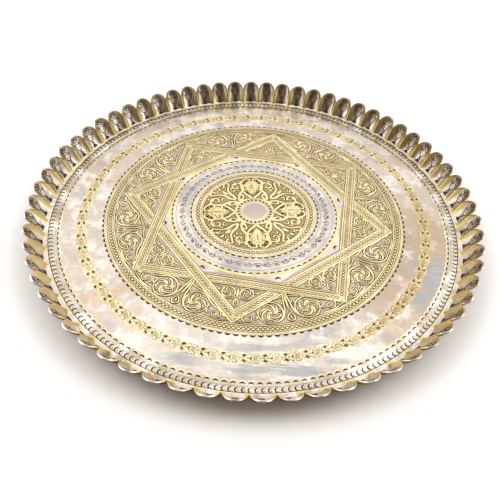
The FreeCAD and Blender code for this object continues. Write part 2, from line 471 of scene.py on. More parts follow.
def silver_border():
    f = Finish("silvered_border", 0.85, 0.3)
    f.start((0.60, 0.54, 0.45))
    f.cloud((0.82, 0.79, 0.74), 0.47, 0.57, 1.0, 40, 5)
    f.cloud((0.42, 0.33, 0.23), 0.5, 0.6, 0.6, 34, 5, shift=(2.0, 5.0, 0.0))
    f.rough(f.noise(60, 3), 0.2, 0.38)
    f.bump(f.noise(420, 2), 0.2, 0.1)
    return f.done()


def band_silver(name, light, dark):
    """Silver gone lilac-grey in cloudy streaks."""
    f = Finish(name, 0.65, 0.45)
    f.start(tuple((a + b) / 2 for a, b in zip(light, dark)))
    f.cloud(light, 0.44, 0.58, 1.0, 26, 5, 0.6)
    f.cloud(dark, 0.52, 0.66, 0.85, 20, 6, 0.6, (5.0, 2.0, 0.0))
    f.rough(f.noise(70, 4), 0.34, 0.55)
    f.bump(f.noise(300, 3), 0.25, 0.12)
    return f.done()


def gilt(name, colour, roughness, wear_and_painted_light=0.0):
    """Worn gilding; a nonzero last argument turns it browner at the right, as painted shade partly standing
    for wear, and paler at the front, as a painted highlight, like the silver floor.
    """
    f = Finish(name, 0.8, roughness)
    f.start(colour)
    f.cloud(tuple(min(1.0, c * 1.12 + 0.05) for c in colour), 0.45, 0.62, 1.0, 30)
    f.cloud((0.46, 0.31, 0.12), 0.52, 0.68, 0.4, 150, 5, 0.6)
    # Painted shade at the right and a painted highlight at the front.
    if wear_and_painted_light:
        f.blend((0.45, 0.33, 0.15), f.times(f.near(195, -70, 110, 48), wear_and_painted_light))
        f.blend((0.90, 0.84, 0.68), f.times(f.near(0, -200, 90, 40), wear_and_painted_light * 0.7))
    f.rough(f.noise(120, 3), roughness - 0.08, roughness + 0.1)
    f.bump(f.noise(520, 2), 0.2, 0.08)
    return f.done()


def patina_and_shade():
    """The blackened grooves, and the painted shade in the crevice at the petals' feet."""
    f = Finish("dark_patina_and_shade", 0.0, 0.7)
    f.shader.inputs["Specular IOR Level"].default_value = 0.2
    f.start(DARK)
    f.cloud((0.11, 0.072, 0.035), 0.48, 0.68, 1.0, 140)
    f.bump(f.noise(600, 2), 0.3, 0.08)
    return f.done()


def engraved_vine(name, deep, worn):
    """Shallow engraving that has kept only some of its dark."""
    f = Finish(name, 0.5, 0.5)
    f.start(deep)
    f.cloud(worn, 0.42, 0.6, 1.0, 60)
    f.bump(f.noise(500, 2), 0.3, 0.08)
    return f.done()


def stippled_ground(name, colour, pale):
    """The sunk ground of the scrolls, matted with a fine punch."""
    f = Finish(name, 0.55, 0.5)
    cells = f.node("ShaderNodeTexVoronoi", Vector=f.place, Scale=820.0)
    pit = f.mask(cells.outputs["Distance"], 0.1, 0.5)
    f.start(tuple(c * 0.5 for c in colour))
    f.blend(colour, pit)
    f.cloud(pale, 0.46, 0.6, 0.55, 24)
    f.bump(pit, 0.5, 0.18)
    return f.done()


def wall_finish():
    """Silvered petals with gilding on both sides of every ridge."""
    f = Finish("parcel_gilt_wall", 0.92, 0.24)
    split = f.node("ShaderNodeSeparateXYZ", Vector=f.place)
    angle = f.maths("ARCTAN2", split.outputs["Y"], split.outputs["X"])
    wave = f.maths("COSINE", f.times(angle, float(PETALS)))
    f.start((0.66, 0.585, 0.49))
    f.cloud((0.82, 0.765, 0.69), 0.46, 0.6, 1.0, 38)
    f.cloud((0.30, 0.20, 0.125), 0.50, 0.64, 0.7, 70, 5, 0.62, (3.0, 3.0, 0.0))
    # Painted shade: browner over the right side of the tray.
    f.blend((0.44, 0.335, 0.235), f.times(f.mask(split.outputs["X"], 0.02, 0.24), 0.36))
    # Browner towards the tips, and more so at the right, where the extra brown is painted shade.
    blotches = f.mask(f.noise(90, 4, 0.6, shift=(6.0, 2.0, 0.0)), 0.30, 0.56)
    tip = f.times(f.mask(split.outputs["Z"], 0.009, 0.027), blotches)
    brown = f.maths("ADD", 0.14, f.times(f.mask(split.outputs["X"], -0.1, 0.25), 0.5))
    f.blend((0.27, 0.175, 0.10), f.times(tip, brown))
    ragged = f.maths("ADD", wave, f.times(f.noise(120, 4), 0.35))
    ridge = f.maths("SUBTRACT", 1.0, f.mask(ragged, -0.60, -0.32))
    f.blend((0.68, 0.55, 0.22), f.times(ridge, 0.92))
    f.rough(f.noise(80, 4), 0.14, 0.32)
    f.bump(f.noise(240, 3), 0.2, 0.2)
    return f.done()


def underside_brass():
    """Dull brass for the outside and the foot of the wall, its dark partly the brass's own and partly painted
    shade under the rim.
    """
    f = Finish("underside_brass", 0.85, 0.45)
    f.start((0.17, 0.105, 0.05))
    f.cloud((0.075, 0.05, 0.03), 0.44, 0.62, 1.0, 60, 5, 0.6)
    f.cloud((0.30, 0.20, 0.09), 0.52, 0.68, 0.5, 45, shift=(1.0, 6.0, 0.0))
    f.rough(f.noise(90, 4), 0.35, 0.6)
    f.bump(f.noise(260, 3), 0.25, 0.15)
    return f.done()


def studio_floor():
    f = Finish("table", 0.0, 0.8)
    f.start((0.98, 0.98, 0.98))
    return f.done()


FINISHES = {
    "floor": silver_floor(),
    "border": silver_border(),
    "band": band_silver("lilac_silver", (0.78, 0.71, 0.62), (0.43, 0.41, 0.42)),
    "disc": band_silver("rosy_silver", (0.56, 0.47, 0.43), (0.42, 0.36, 0.36)),
    "gilt": gilt("gilding", GILT, 0.30),
    "pale_gilt": gilt("pale_gilding", PALE_GILT, 0.34),
    "dark": patina_and_shade(),
    "vine": engraved_vine("engraved_vine", (0.16, 0.13, 0.10), (0.34, 0.28, 0.19)),
    "tan": engraved_vine("worn_grooves", (0.22, 0.155, 0.065), (0.40, 0.30, 0.14)),
    "ground": stippled_ground("stippled_ground", MAUVE, (0.62, 0.535, 0.44)),
    "gilt_ground": stippled_ground("gilt_ground", (0.36, 0.265, 0.13), (0.47, 0.36, 0.19)),
    # The garland's gilding takes the painted shade at the right and the painted highlight at the front.
    "garland": gilt("garland_gilding", (0.74, 0.63, 0.39), 0.42, 0.55),
    "strip": gilt("strip_gilding", (0.63, 0.525, 0.315), 0.36),
    "wall": wall_finish(),
    "underside": underside_brass(),
}


def new_object(name, data):
    made = bpy.data.objects.new(name, data)
    bpy.context.scene.collection.objects.link(made)
    return made


def piece(name, relief, finish, underside=None):
    """Makes a piece of the tray from a relief; underside marks the faces that take the dull finish."""
    verts, faces = relief.arrays()
    mesh = bpy.data.meshes.new(name)
    mesh.from_pydata((verts * MM).tolist(), [], faces)
    work = bmesh.new()
    work.from_mesh(mesh)
    bmesh.ops.recalc_face_normals(work, faces=work.faces)
    work.to_mesh(mesh)
    work.free()
    mesh.polygons.foreach_set("use_smooth", [True] * len(mesh.polygons))
    mesh.set_sharp_from_angle(angle=math.radians(52))
    mesh.materials.append(FINISHES[finish])
    if underside:
        mesh.materials.append(FINISHES["underside"])
        mesh.polygons.foreach_set("material_index", [int(n) for n in underside])
    made = new_object(name, mesh)
    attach(made, "root")
    return made


def flat_ring(name, finish, inner, outer, height, steps=360):
    """A flat ring on the floor as a piece of its own."""
    ring = Relief()
    band(ring, inner, outer, height, steps)
    piece(name, ring, finish)


# ---- middle rosette


def beads_round(work, radius, count, size):
    for x, y in circle(radius, count):
        work.bead(x, y, size)


def crescents_round(relief, radius, count, size, thickness, height, inward=False):
    """Punched half-moons in a row, each bulging away from the middle, or towards it."""
    one = Relief()
    facing = math.pi if inward else 0.0
    half_moon(one, (radius, 0.0), size, facing, 3.0, thickness, PUNCH_FOOT, FLOOR_TOP + height)
    relief.round_tray(one, count)


def palmette(work):
    """One leaf of the rosette, upright on +Y, inside a heart of two curled stems."""
    half = [(3.6, 33.4), (6.5, 37.6), (8.1, 42), (8.5, 46.6), (7.6, 51.0), (5.2, 54.2)]
    body = [(0, 29)] + half + [(0, 56.0)] + [(-x, y) for x, y in reversed(half)]
    slab(work.dark, [(x * 1.1, 43.1 + (y - 43.1) * 1.07) for x, y in body], work.base, work.base + 0.02)
    slab(work.gilt, body, work.base, work.base + 0.05)
    deep = work.groove
    for side in (-1, 1):
        work.groove = deep
        rise = [(0.8, 23.5), (4.6, 27.5), (9.4, 33), (12.6, 41), (13.0, 49)]
        curl = [(11.0, 56), (6.4, 59.6), (2.0, 58.0), (2.4, 55.4)]
        work.stem(side, rise + curl, 2.9, 2.0)
        work.groove = 0.5
        for reach, y, width in ((4.8, 37.5, 2.2), (6.2, 42.6, 2.7), (5.9, 47.6, 2.7), (3.8, 51.6, 2.4)):
            work.leaf((side * 0.8, y - 5.0), (side * reach, y + 0.8), width, side * -0.7)
        # Dark triangular nicks between the leaf and its heart, all pointing at the leaf.
        low_nicks = ((5.6, 33.2, 0.6), (8.6, 37.4, 0.9), (10.4, 42.0, 1.3))
        high_nicks = ((10.8, 46.8, 1.6), (9.8, 51.6, 1.9), (7.2, 55.2, 2.4))
        for x, y, aim in low_nicks + high_nicks:
            ahead = np.array([-side * math.sin(aim), math.cos(aim)]) * 2.0
            across = np.array([ahead[1], -ahead[0]]) * 0.8
            root = np.array([side * x, y])
            back = root - ahead * 0.7
            slab(work.dark, [root + ahead, back + across, back - across], work.base, work.base + 0.3)
    work.leaf((0, 30), (0, 56), 4.6)
    work.groove = deep
    slab(work.dark, leaf_outline((0, 38), (0, 51), 0.9), work.base, work.base + work.height + 0.1)


def arabesque(work):
    """The scrolls between two palmettes, upright on +Y."""
    branch = [(1.4, 23.5), (5, 29), (10, 33), (16.5, 34.6), (22.6, 37.6), (25.6, 43.4)]
    branch_curl = [(23.4, 49.4), (17.6, 51.0), (13.8, 47.4), (15.4, 43.0), (18.8, 43.6)]
    heart = [(0.6, 30), (3.2, 36), (3.6, 42.6), (6.4, 48.6), (11.4, 52.6)]
    heart_curl = [(15.4, 56.0), (13.0, 59.4), (8.8, 58.6), (8.0, 55.4)]
    for side in (-1, 1):
        work.stem(side, branch + branch_curl, 3.6, 2.2)
        work.stem(side, heart + heart_curl, 3.4, 2.1)
        work.stem(side, [(2.2, 24.6), (7.4, 25.0), (11.6, 27.8), (11.4, 31.0), (8.2, 30.6)], 3.0, 1.9)
        work.hook(side * 9.4, 40.0, 4.3, math.pi / 2 - side * 1.9, side)
        work.hook(side * 20.0, 46.4, 3.3, math.pi / 2 + side * 1.2, -side)
        work.hook(side * 4.2, 54.2, 3.2, math.pi / 2 - side * 2.2, side)
        work.hook(side * 21.0, 54.4, 3.8, math.pi / 2 + side * 2.4, side)
        work.leaf((side * 25.0, 40.0), (side * 30.5, 37.6), 3.3, side * 0.8)
        work.leaf((side * 26.4, 45.6), (side * 31.0, 47.8), 3.6, side * 0.8)
        work.leaf((side * 19.0, 34.2), (side * 24.0, 29.6), 3.2, side * 0.7)
        work.leaf((side * 9.6, 45.4), (side * 11.8, 48.4), 2.4, side * 0.4)
    work.leaf((0, 42), (0, 52.5), 4.4)
    work.leaf((0, 53.5), (0, 60.4), 2.6)


def make_rosette():
    flat_ring("rosette_ground", "gilt_ground", TEETH_RING + 2.2, ROSETTE_EDGE + 1.0, 0.06, 240)

    work = Chased(GROUND)
    leaf, scrolls = Chased(work.base, 0.5, 0.9), Chased(work.base, 0.5, 0.9)
    palmette(leaf)
    arabesque(scrolls)
    for k in range(4):
        quarter = math.radians(ROSETTE_TURN + 90 * k - 90)
        work.join(leaf, quarter)
        work.join(scrolls, quarter + math.pi / 4)
    work.line(circle(TEETH_RING + 1.9), 2.0, closed=True)
    work.line(circle(ROSETTE_EDGE), 1.4, closed=True)
    piece("rosette_scrolls", work.gilt, "gilt")
    piece("rosette_grooves", work.dark, "dark")

    rim = Chased(FLOOR_TOP + 0.16)
    collar = Relief()
    lobes = scallops(ROSETTE_OUT, 1.4, ROSETTE_LOBES)
    band(collar, ROSETTE_EDGE + 0.9, lobes, 0.16, ROSETTE_LOBES * 12)
    band(collar, CENTRE_DISC, TEETH_RING + 1.4, 0.22, 160)
    beads_round(rim, ROSETTE_BEADS, ROSETTE_BEAD_COUNT, 1.65)
    crescents_round(rim.dark, ROSETTE_CRESCENTS, ROSETTE_LOBES, 3.0, 2.0, 0.26)
    tooth = Relief()
    slab(tooth, [(16.6, 0), (20.4, 1.9), (20.4, -1.9)], PUNCH_FOOT, FLOOR_TOP + 0.3)
    rim.dark.round_tray(tooth, CENTRE_TEETH)
    piece("rosette_collar", collar, "pale_gilt")
    piece("rosette_beads", rim.gilt, "gilt")
    piece("rosette_punches", rim.dark, "dark")

    middle = Relief()
    disc(middle, CENTRE_DISC, FLOOR_TOP, FLOOR_TOP + 0.2)
    piece("centre_disc", middle, "disc")
    point = Relief()
    dome(point, 0, 0, 0.9, FLOOR_TOP + 0.2, 0.3)
    piece("centre_point", point, "pale_gilt")


def make_band():
    """The tarnished band round the rosette, with a plain running vine."""
    flat_ring("tarnished_band", "band", ROSETTE_OUT - 1.8, BAND_OUT + 1.0, 0.05, 300)
    middle, swing = VINE_MIDDLE, 2.9
    a = full_turn(VINE_WAVES * 16)
    vine = Relief()
    low = FLOOR_TOP + 0.04
    ribbon(vine, polar(middle + swing * np.sin(VINE_WAVES * a), a), 1.05, low, 0.12, closed=True)
    unit = Relief()
    for side in (-1, 1):
        near_leaf = ((middle - side * 1.2, side * 2.6), (middle + side * 3.6, side * 5.2), 2.3, side * 0.5)
        far_leaf = ((middle - side * 1.0, side * 5.2), (middle + side * 2.8, side * 8.6), 2.0, -side * 0.4)
        for leaf in (near_leaf, far_leaf):
            slab(unit, leaf_outline(*leaf), low, low + 0.11)
    for k in range(VINE_WAVES):
        vine.join(unit, TAU * (k + 0.5) / VINE_WAVES)
    for radius in VINE_LINES:
        ribbon(vine, circle(radius), 0.5, low, 0.1, closed=True)
    piece("band_vine", vine, "vine")

    lobes = scallops(BAND_OUT, -1.2, INNER_RING_LOBES)
    flat_ring("inner_ring", "gilt", lobes, INNER_RING_OUT, 0.18, INNER_RING_LOBES * 12)
    punches = Relief()
    crescents_round(punches, INNER_RING_CRESCENTS, INNER_RING_LOBES, 3.0, 1.9, 0.26, inward=True)
    moon = Relief()
    half_moon(moon, (STAR_MOONS, 0.0), 3.2, math.pi, 3.4, 2.6, FLOOR_TOP, FLOOR_TOP + 0.34)
    for k in range(8):
        punches.join(moon, math.radians(14.6 + 45 * k))
    piece("inner_ring_punches", punches, "dark")


# ---- star


def scroll(work, x, y, radius, start, hand, arms=6):
    """A round scroll: a stem that closes on itself round a whorl of curled leaves."""
    work.line(spiral((x, y), radius, radius * 0.92, start, hand * TAU * 0.94, 30), np.linspace(1.9, 1.4, 30))
    for k in range(arms):
        a = start + TAU * (k + 0.3) / arms
        reach = 0.80 if k % 2 else 0.70
        arm = spiral((x, y), radius * reach, radius * 0.14, a, hand * (2.1 if k % 2 else 1.6), 12)
        swell = np.sin(np.linspace(0.2, 1.0, 12) * math.pi) ** 0.8
        work.line(arm, 0.55 + radius * 0.125 * swell)
        if k % 2:
            ends = polar(radius * np.array([0.60, 0.84]), a - hand * np.array([0.55, 0.25])) + (x, y)
            work.leaf(*ends, radius * 0.09)
    dome(work.gilt, x, y, radius * 0.13, work.base, work.height * 1.2)


def drop(work, y_low, y_high, width):
    """A bud drawn as a drop with a dark heart."""
    t = np.linspace(0, 1, 13)
    half = width / 2 * np.sin(math.pi * t**0.75)
    y = y_high + (y_low - y_high) * t
    outline = np.concatenate([np.column_stack([half, y]), np.column_stack([-half, y])[::-1][1:-1]])
    work.line(outline, 1.5, closed=True)
    work.leaf((0, y_low + (y_high - y_low) * 0.28), (0, y_low + (y_high - y_low) * 0.75), width * 0.2)


def outer_field():
    """The scrolls between two star points and the border, upright on +Y."""
    work = Chased(GROUND)
    shoot = [(1.4, 124.6), (2.2, 131), (3.4, 138.0), (4.2, 146.0), (7.4, 153.6), (12.0, 158.4)]
    tendril = [(27, 136.6), (33.0, 139.6), (38.4, 141.6), (45.0, 143.2)]
    tendril_curl = [(48.6, 147.6), (46.4, 152.4), (41.2, 152.6), (39.0, 148.8), (42.0, 147.0)]
    for side in (-1, 1):
        scroll(work, side * 19.4, 147.2, 13.4, math.pi / 2 - side * 2.3, -side)
        work.stem(side, shoot, 1.5, 1.9)
        work.stem(side, [(3.2, 130.0), (9.0, 131.2), (15.5, 131.6), (22.0, 132.4)], 1.7, 1.0)
        work.stem(side, tendril + tendril_curl, 1.9, 1.1)
        work.stem(side, [(33.6, 157.4), (39.0, 156.6), (46.0, 154.8), (52.6, 151.4), (59.4, 147.6)], 2.2, 0.7)
        work.leaf((side * 48.8, 145.2), (side * 56.4, 146.0), 2.2, side * 0.7)
        work.hook(side * 35.2, 148.8, 3.4, math.pi / 2 - side * 0.6, side)
        work.hook(side * 8.0, 137.2, 3.0, math.pi / 2 + side * 2.0, -side)
        work.leaf((side * 31.0, 143.0), (side * 34.4, 143.4), 2.0, side * 0.4)
    drop(work, 150.5, 160.6, 7.6)
    work.leaf((0, 126.0), (0, 148.5), 2.0)
    return work


def point_field():
    """The pair of scrolls inside one star point, upright on +Y."""
    work = Chased(GROUND, groove=0.65)
    for side in (-1, 1):
        scroll(work, side * 9.6, 124.4, 7.0, math.pi / 2 + side * 1.1, side, arms=4)
        work.stem(side, [(3.0, 131.6), (9.6, 133.0), (14.6, 130.4)], 1.5, 0.8)
        work.stem(side, [(15.0, 119.6), (19.6, 118.2), (26.2, 116.6)], 1.8, 0.7)
        work.leaf((side * 17.6, 123.4), (side * 21.4, 121.0), 1.8, side * 0.5)
    drop(work, 132.0, 141.4, 5.2)
    work.leaf((0, 130.6), (0, 116.4), 2.6)
    return work


def inset(corners, depth):
    """The corners of a polygon whose sides have all moved inwards."""
    out = []
    for k, here in enumerate(corners):
        u = here - corners[k - 1]
        v = corners[(k + 1) % len(corners)] - here
        u, v = u / np.linalg.norm(u), v / np.linalg.norm(v)
        into = np.array([-u[1] - v[1], u[0] + v[0]])
        out.append(here + depth * into / (1 + u @ v))
    return np.array(out)


def crossing_share(a, b, c, d):
    """How far along a-b the line through c-d crosses it, as a share of a-b."""
    e, f = b - a, d - c
    return ((c[0] - a[0]) * f[1] - (c[1] - a[1]) * f[0]) / (e[0] * f[1] - e[1] * f[0])


def strip_runs(square, other, side, depth, gap=0.25):
    """The visible runs of one lengthwise line of a strip: it passes under the first strip that it meets."""
    line = inset(square, depth)
    a, b = line[side], line[(side + 1) % 4]
    found = []
    for k in range(4):
        shares = []
        for edge in (inset(other, -gap), inset(other, STRIP_WIDTH + gap)):
            c, d = edge[k], edge[(k + 1) % 4]
            if 0 < crossing_share(c, d, a, b) < 1:
                shares.append(crossing_share(a, b, c, d))
        if len(shares) == 2 and 0 < min(shares) and max(shares) < 1:
            found.append(sorted(shares))
    low, high = sorted(found)[0]
    return a, b, low, high


def star_strips():
    """The star's two squares, woven over and under, with a row of ringed beads between two gilt edges."""
    squares = []
    for corners in SQUARES:
        radii, bearings = np.array(corners).T
        squares.append(polar(radii, np.radians(bearings)))
    base = Relief()
    work = Chased(FLOOR_TOP + 0.2, 0.42, 0.5)
    edge, bead_spacing = 1.15, 4.3
    for square, other in (squares, squares[::-1]):
        for side in range(4):
            a, b, low_a, high_a = strip_runs(square, other, side, 0.0)
            c, d, low_c, high_c = strip_runs(square, other, side, STRIP_WIDTH)
            for u, v, w, x in ((0.0, low_a, low_c, 0.0), (high_a, 1.0, 1.0, high_c)):
                outline = [a + (b - a) * u, a + (b - a) * v, c + (d - c) * w, c + (d - c) * x]
                slab(base, outline, FLOOR_TOP, FLOOR_TOP + 0.19)
            for depth in (edge, STRIP_WIDTH - edge):
                a, b, low, high = strip_runs(square, other, side, depth)
                for u, v in ((0.0, low), (high, 1.0)):
                    share = np.linspace(u, v, 12)[:, None]
                    work.line(a + (b - a) * share, 1.9)
            a, b, low, high = strip_runs(square, other, side, STRIP_WIDTH / 2, 1.6)
            length = np.linalg.norm(b - a)
            count = int(length / bead_spacing)
            for k in range(1, count):
                share = k / count
                if not low < share < high:
                    work.bead(*(a + (b - a) * share), 1.4, 0.62)
    return base, work


def corner_bearings():
    """Bearings of the eight star points, in order round the tray."""
    return sorted(math.radians(t % 360) for corners in SQUARES for _, t in corners)


def make_star():
    flat_ring("star_ground", "ground", INNER_RING_OUT - 1.5, MEDALLION_IN + 1.0, 0.05)

    bearings = corner_bearings()
    middles = [(a + b) / 2 for a, b in zip(bearings, bearings[1:] + [bearings[0] + TAU])]

    # Unengraved silver shows in the eight small corners between the star and the inner ring.
    corners = Relief()
    apothem = 162.0 / math.sqrt(2) - STRIP_WIDTH + 0.6
    tip = apothem / math.cos(math.pi / 8)
    spread = math.pi / 8 * 0.97
    arc = polar(INNER_RING_OUT - 1.2, np.linspace(-spread, spread, 9))
    one = Relief()
    slab(one, [*arc, (tip, 0.0)], FLOOR_TOP, FLOOR_TOP + 0.12)
    for bearing in middles:
        corners.join(one, bearing)
    piece("star_corners", corners, "band")

    strips, marks = star_strips()
    piece("star_strips", strips, "strip")
    piece("star_lines", marks.gilt, "gilt")
    piece("star_grooves", marks.dark, "dark")

    outer, inner = outer_field(), point_field()
    work = Chased(outer.base)
    for bearing in middles:
        work.join(outer, bearing - math.pi / 2)
    for bearing in bearings:
        work.join(inner, bearing - math.pi / 2)
    piece("star_scrolls", work.gilt, "gilt")
    piece("star_scroll_grooves", work.dark, "dark")


def make_medallion_border():
    lobes = scallops(MEDALLION_OUT - 0.7, 1.5, MEDALLION_LOBES)
    flat_ring("medallion_border", "strip", MEDALLION_IN, lobes, 0.18, MEDALLION_LOBES * 12)
    work = Chased(FLOOR_TOP + 0.17, 0.4, 0.5)
    work.line(circle(MEDALLION_IN + 1.0, 360), 1.5, closed=True)
    ribbon(work.dark, circle(MEDALLION_LINE, 360), 0.7, work.base, 0.1, closed=True)
    beads_round(work, MEDALLION_BEADS, MEDALLION_BEAD_COUNT, 1.6)
    crescents_round(work.dark, MEDALLION_CRESCENTS, MEDALLION_LOBES, 3.1, 2.1, 0.28)
    piece("medallion_beads", work.gilt, "gilt")
    piece("medallion_punches", work.dark, "dark")


# ---- outer rings


def make_wreath():
    """A garland of leaf pairs with a round bud in every unit, on a gilt ground with wavy edges."""
    inner_edge = lambda a: WREATH_IN + 0.8 * np.cos(GARLAND_UNITS * a)
    outer_edge = lambda a: WREATH_OUT - 0.8 * np.cos(GARLAND_UNITS * a)
    flat_ring("wreath_ground", "garland", inner_edge, outer_edge, 0.14, GARLAND_UNITS * 16)
    unit = Chased(FLOOR_TOP + 0.13, 0.3, 0.55)
    middle = (WREATH_IN + WREATH_OUT) / 2
    unit.line(spiral((middle, 5.4), 3.2, 2.8, 0.5, TAU * 0.94, 14), 1.3)
    unit.bead(middle, 5.4, 1.0, 0.5)
    drops = Relief()
    for side in (-1, 1):
        unit.leaf((middle + side * 0.8, -9.6), (middle + side * 4.8, -4.4), 2.8, side * 0.9)
        unit.leaf((middle + side * 0.8, -3.8), (middle + side * 5.0, 1.4), 2.8, side * 0.9)
        unit.leaf((middle + side * 4.0, 3.4), (middle + side * 4.6, 8.8), 1.9, side * 0.4)
        drop_outline = leaf_outline((middle + side * 1.7, -7.2), (middle + side * 4.0, -3.2), 1.9)
        slab(drops, drop_outline, unit.base, unit.base + 0.5)
    slab(drops, leaf_outline((middle, 0.2), (middle, 1.8), 1.0), unit.base, unit.base + 0.5)
    work, holes = Chased(unit.base), Relief()
    for k in range(GARLAND_UNITS):
        work.join(unit, TAU * k / GARLAND_UNITS)
    holes.round_tray(drops, GARLAND_UNITS)
    piece("wreath_relief", work.gilt, "garland")
    piece("wreath_grooves", work.dark, "tan")
    piece("wreath_drops", holes, "dark")


def make_lappets():
    """A row of small lobes that hang inwards from the border."""
    edge = scallops(LAPPET_IN, -0.9, LAPPETS)
    flat_ring("lappet_row", "border", edge, LAPPET_OUT - 0.1, 0.16, LAPPETS * 10)
    lobes, marks = Relief(), Relief()
    crescents_round(lobes, LAPPET_LOBES, LAPPETS, 3.5, 1.5, 0.34, inward=True)
    crescents_round(marks, LAPPET_PUNCHES, LAPPETS, 2.7, 1.5, 0.36, inward=True)
    piece("lappet_lobes", lobes, "gilt")
    piece("lappet_punches", marks, "dark")


def make_border_punches():
    """The border ring's row of crescents, each round a small bright boss, outside one fine line."""
    low = BORDER_TOP - 0.02
    work = Chased(low, 0.32, 0.35)
    unit = Relief()
    half_moon(unit, (BORDER_ROW, 0.0), 2.6, -math.pi / 2, 4.2, 1.45, low, low + 0.14)
    work.dark.round_tray(unit, BORDER_CRESCENTS)
    boss = Relief()
    dome(boss, BORDER_ROW, 0.5, 1.5, low, 0.5, 8)
    work.gilt.round_tray(boss, BORDER_CRESCENTS)
    ribbon(work.gilt, circle(BORDER_LINE, 360), 0.9, low, 0.3, closed=True)
    piece("border_bosses", work.gilt, "border")
    piece("border_punches", work.dark, "dark")

    # The petals' feet reach in over the border to a true circle, and a dark ribbon follows it: the dark line
    # of the joint, with painted shade in the crevice.
    crevice = Relief()
    ribbon(crevice, circle(CREVICE, 480), 1.15, low, 0.2, closed=True)
    piece("border_crevice_shade", crevice, "dark")
    feet = Relief()
    loops = []
    for a in full_turn(PETALS * 16):
        share = (a / HALF_PITCH + 1) % 2 - 1
        r = float(petal_radius(share, 4.0))
        section = [(FEET_IN, low), (FEET_IN, low + 0.2), (r - 0.6, 3.75), (r + 0.4, 4.6)]
        section += [(r + 0.7, 4.6), (r + 0.7, low)]
        loops.append(np.array([[q * math.cos(a), q * math.sin(a), z] for q, z in section]))
    feet.add(*loft(loops, closed=True))
    piece("petal_feet", feet, "wall")


# ---- wall

WALL_THICKNESS = 1.25
FOOT_MIDDLE, FOOT_RIDGE = 237.0, 235.2
TOP_MIDDLE, TOP_RIDGE = RIM_RADIUS - WALL_THICKNESS, 249.4
NOTCH_DEPTH = 8.9


def petal_radius(share, z):
    """Radius of the wall's inner face: share is 0 in the middle of a petal and 1 on a ridge."""
    t = np.clip(z / RIM_HEIGHT, 0, 1)
    middle = FOOT_MIDDLE + (TOP_MIDDLE - FOOT_MIDDLE) * (1 - (1 - t) ** 1.38)
    ridge = FOOT_RIDGE + (TOP_RIDGE - FOOT_RIDGE) * t
    s = np.abs(share)
    knee, power = 0.86, 2.5
    at_knee, slope = knee**power, power * knee ** (power - 1)
    past = np.maximum(s - knee, 0)
    curve = np.where(s < knee, s**power, at_knee + slope * past - slope * past**2 / (2 * (1 - knee)))
    return middle - (middle - ridge) * curve / (at_knee + slope * (1 - knee) / 2)


def petal_top(share):
    """Height of the petal's rounded edge."""
    return RIM_HEIGHT - 0.3 - NOTCH_DEPTH * (1 - np.sqrt(np.maximum(1 - np.abs(share) ** 2.2, 0)))


def on_petal(x, y, lift):
    """A point on the first petal's inner face: x across it, y its height, lift off the surface."""
    share = x / (TOP_MIDDLE * HALF_PITCH)
    r = petal_radius(share, y)
    a = share * HALF_PITCH
    r = r - lift * 0.85
    return np.column_stack([r * np.cos(a), r * np.sin(a), y + lift * 0.5])


def make_wall():
    across, up = 20, 18
    # The columns crowd together towards the ridges.
    crowd = math.pi / 2 * 0.985
    shares = np.sin(np.linspace(-1, 1, across + 1) * crowd) / math.sin(crowd)
    flange_in, flange_top = 223.0, 1.2
    columns = []
    for k in range(PETALS):
        for s in shares[:-1]:
            a = (2 * k + s) * HALF_PITCH
            top = float(petal_top(s))
            heights = flange_top + (top - flange_top) * np.linspace(0, 1, up + 1)
            inner_r = petal_radius(s, heights)
            near_edge = np.exp(-(((top - heights) / 1.1) ** 2))
            inner = np.column_stack([inner_r - 0.45 * near_edge, heights])
            crown = [[inner_r[-1] + WALL_THICKNESS * 0.45 - 0.2, top + 0.3]]
            low = np.concatenate([[0.0], heights])
            outer = np.column_stack([petal_radius(s, low) + WALL_THICKNESS, low])[::-1]
            flange = [[flange_in, 0.0], [flange_in, flange_top]]
            profile = np.concatenate([flange, inner, crown, outer])
            r, z = profile.T
            columns.append(np.column_stack([r * math.cos(a), r * math.sin(a), z]))
    relief = Relief()
    relief.add(*loft(columns, closed=True))
    # Round the section: two flange points, the inner face, the crown, then the outer face down to the table.
    shown = 2 + (up + 1) + 1
    outside = [k >= shown + 1 or k == 0 for k in range(len(columns[0]))] * len(columns)
    wall = piece("petal_wall_shell", relief, "wall", outside)
    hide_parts("petal_wall")


def make_lips():
    """The bright filed edge that runs round every petal."""
    one = Relief()
    shares = np.sin(np.linspace(-1, 1, 23) * math.pi / 2)
    a = shares * HALF_PITCH
    top = petal_top(shares)
    r = petal_radius(shares, top)
    loops = []
    for k in range(len(shares)):
        ring = []
        for t in full_turn(8):
            radius = r[k] + 0.28 - 0.62 * math.cos(t)
            height = top[k] - 0.32 + 0.58 * math.sin(t)
            ring.append([radius * math.cos(a[k]), radius * math.sin(a[k]), height])
        loops.append(np.array(ring))
    one.add(*loft(loops))
    lips = Relief()
    lips.round_tray(one, PETALS)
    piece("petal_lips", lips, "pale_gilt")


